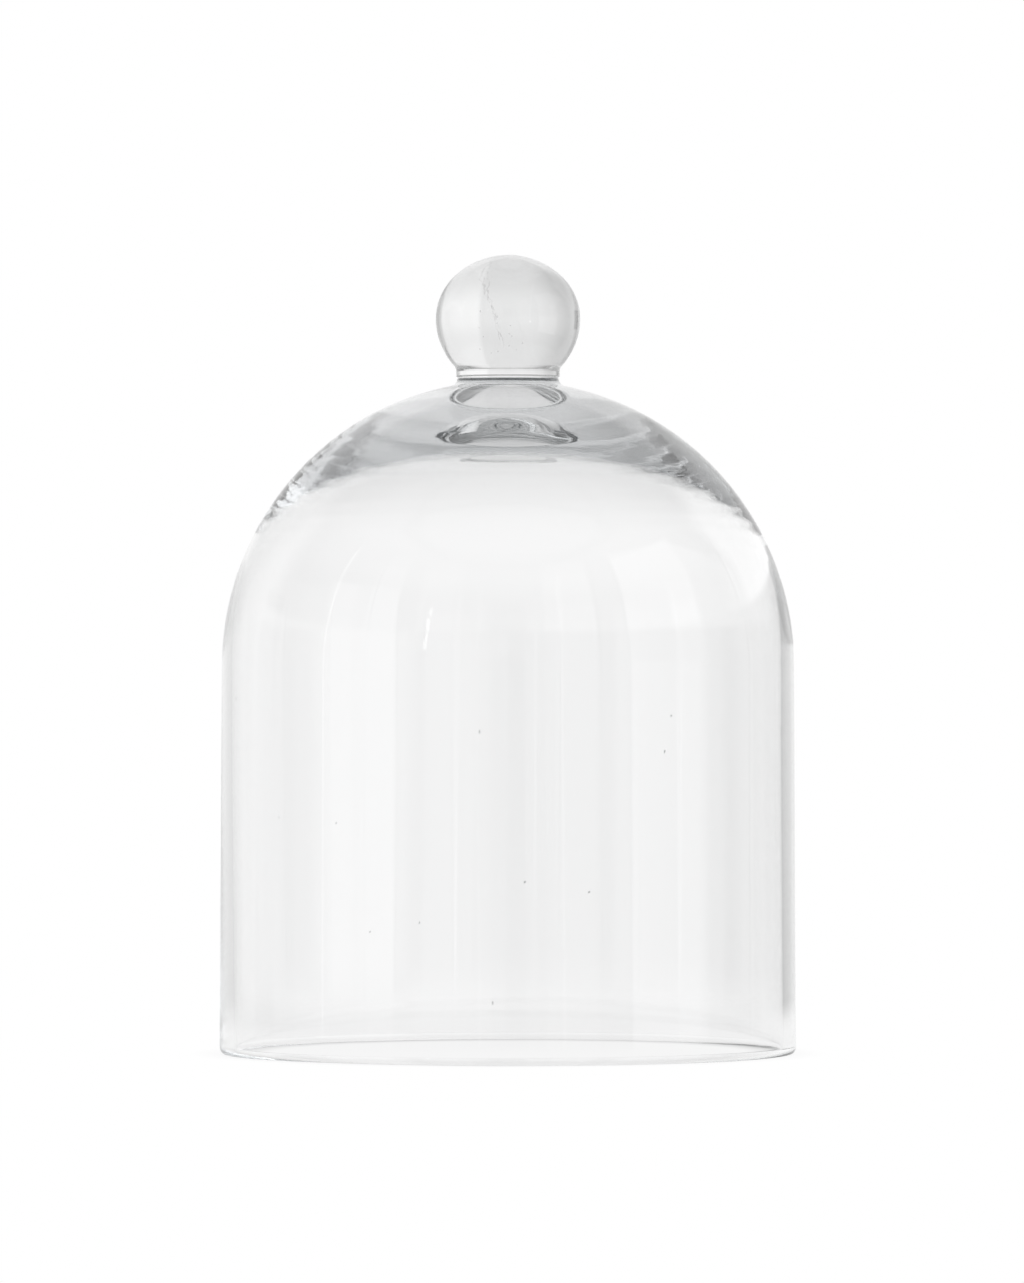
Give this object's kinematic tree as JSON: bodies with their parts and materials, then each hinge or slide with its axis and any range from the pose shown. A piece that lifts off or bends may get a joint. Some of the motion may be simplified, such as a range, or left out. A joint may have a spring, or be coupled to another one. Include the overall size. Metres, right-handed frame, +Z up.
{
  "type": "bell jar dome",
  "caption": "Clear glass bell jar dome: straight-walled blown shell with a hemispherical thick crown, open polished mouth and a solid ball knob fused on top for lifting.",
  "frame": {"origin": "centre of the flat ring on the lip that rests on the table", "axes": "+Z up along the axis of the dome, from the open mouth towards the knob; the shape is round, so +X and +Y are free"},
  "size_m": [0.2, 0.2, 0.277],
  "materials": {
    "shell_glass": "clear soda-lime glass, blown and fire-polished, with faint striae and a few seeds",
    "knob_glass": "clear solid glass, fire-polished, with a faint cord inside"
  },
  "bodies": {
    "root": {"glass_dome": "shell_glass", "ball_knob": "knob_glass"}
  },
  "joints": []
}
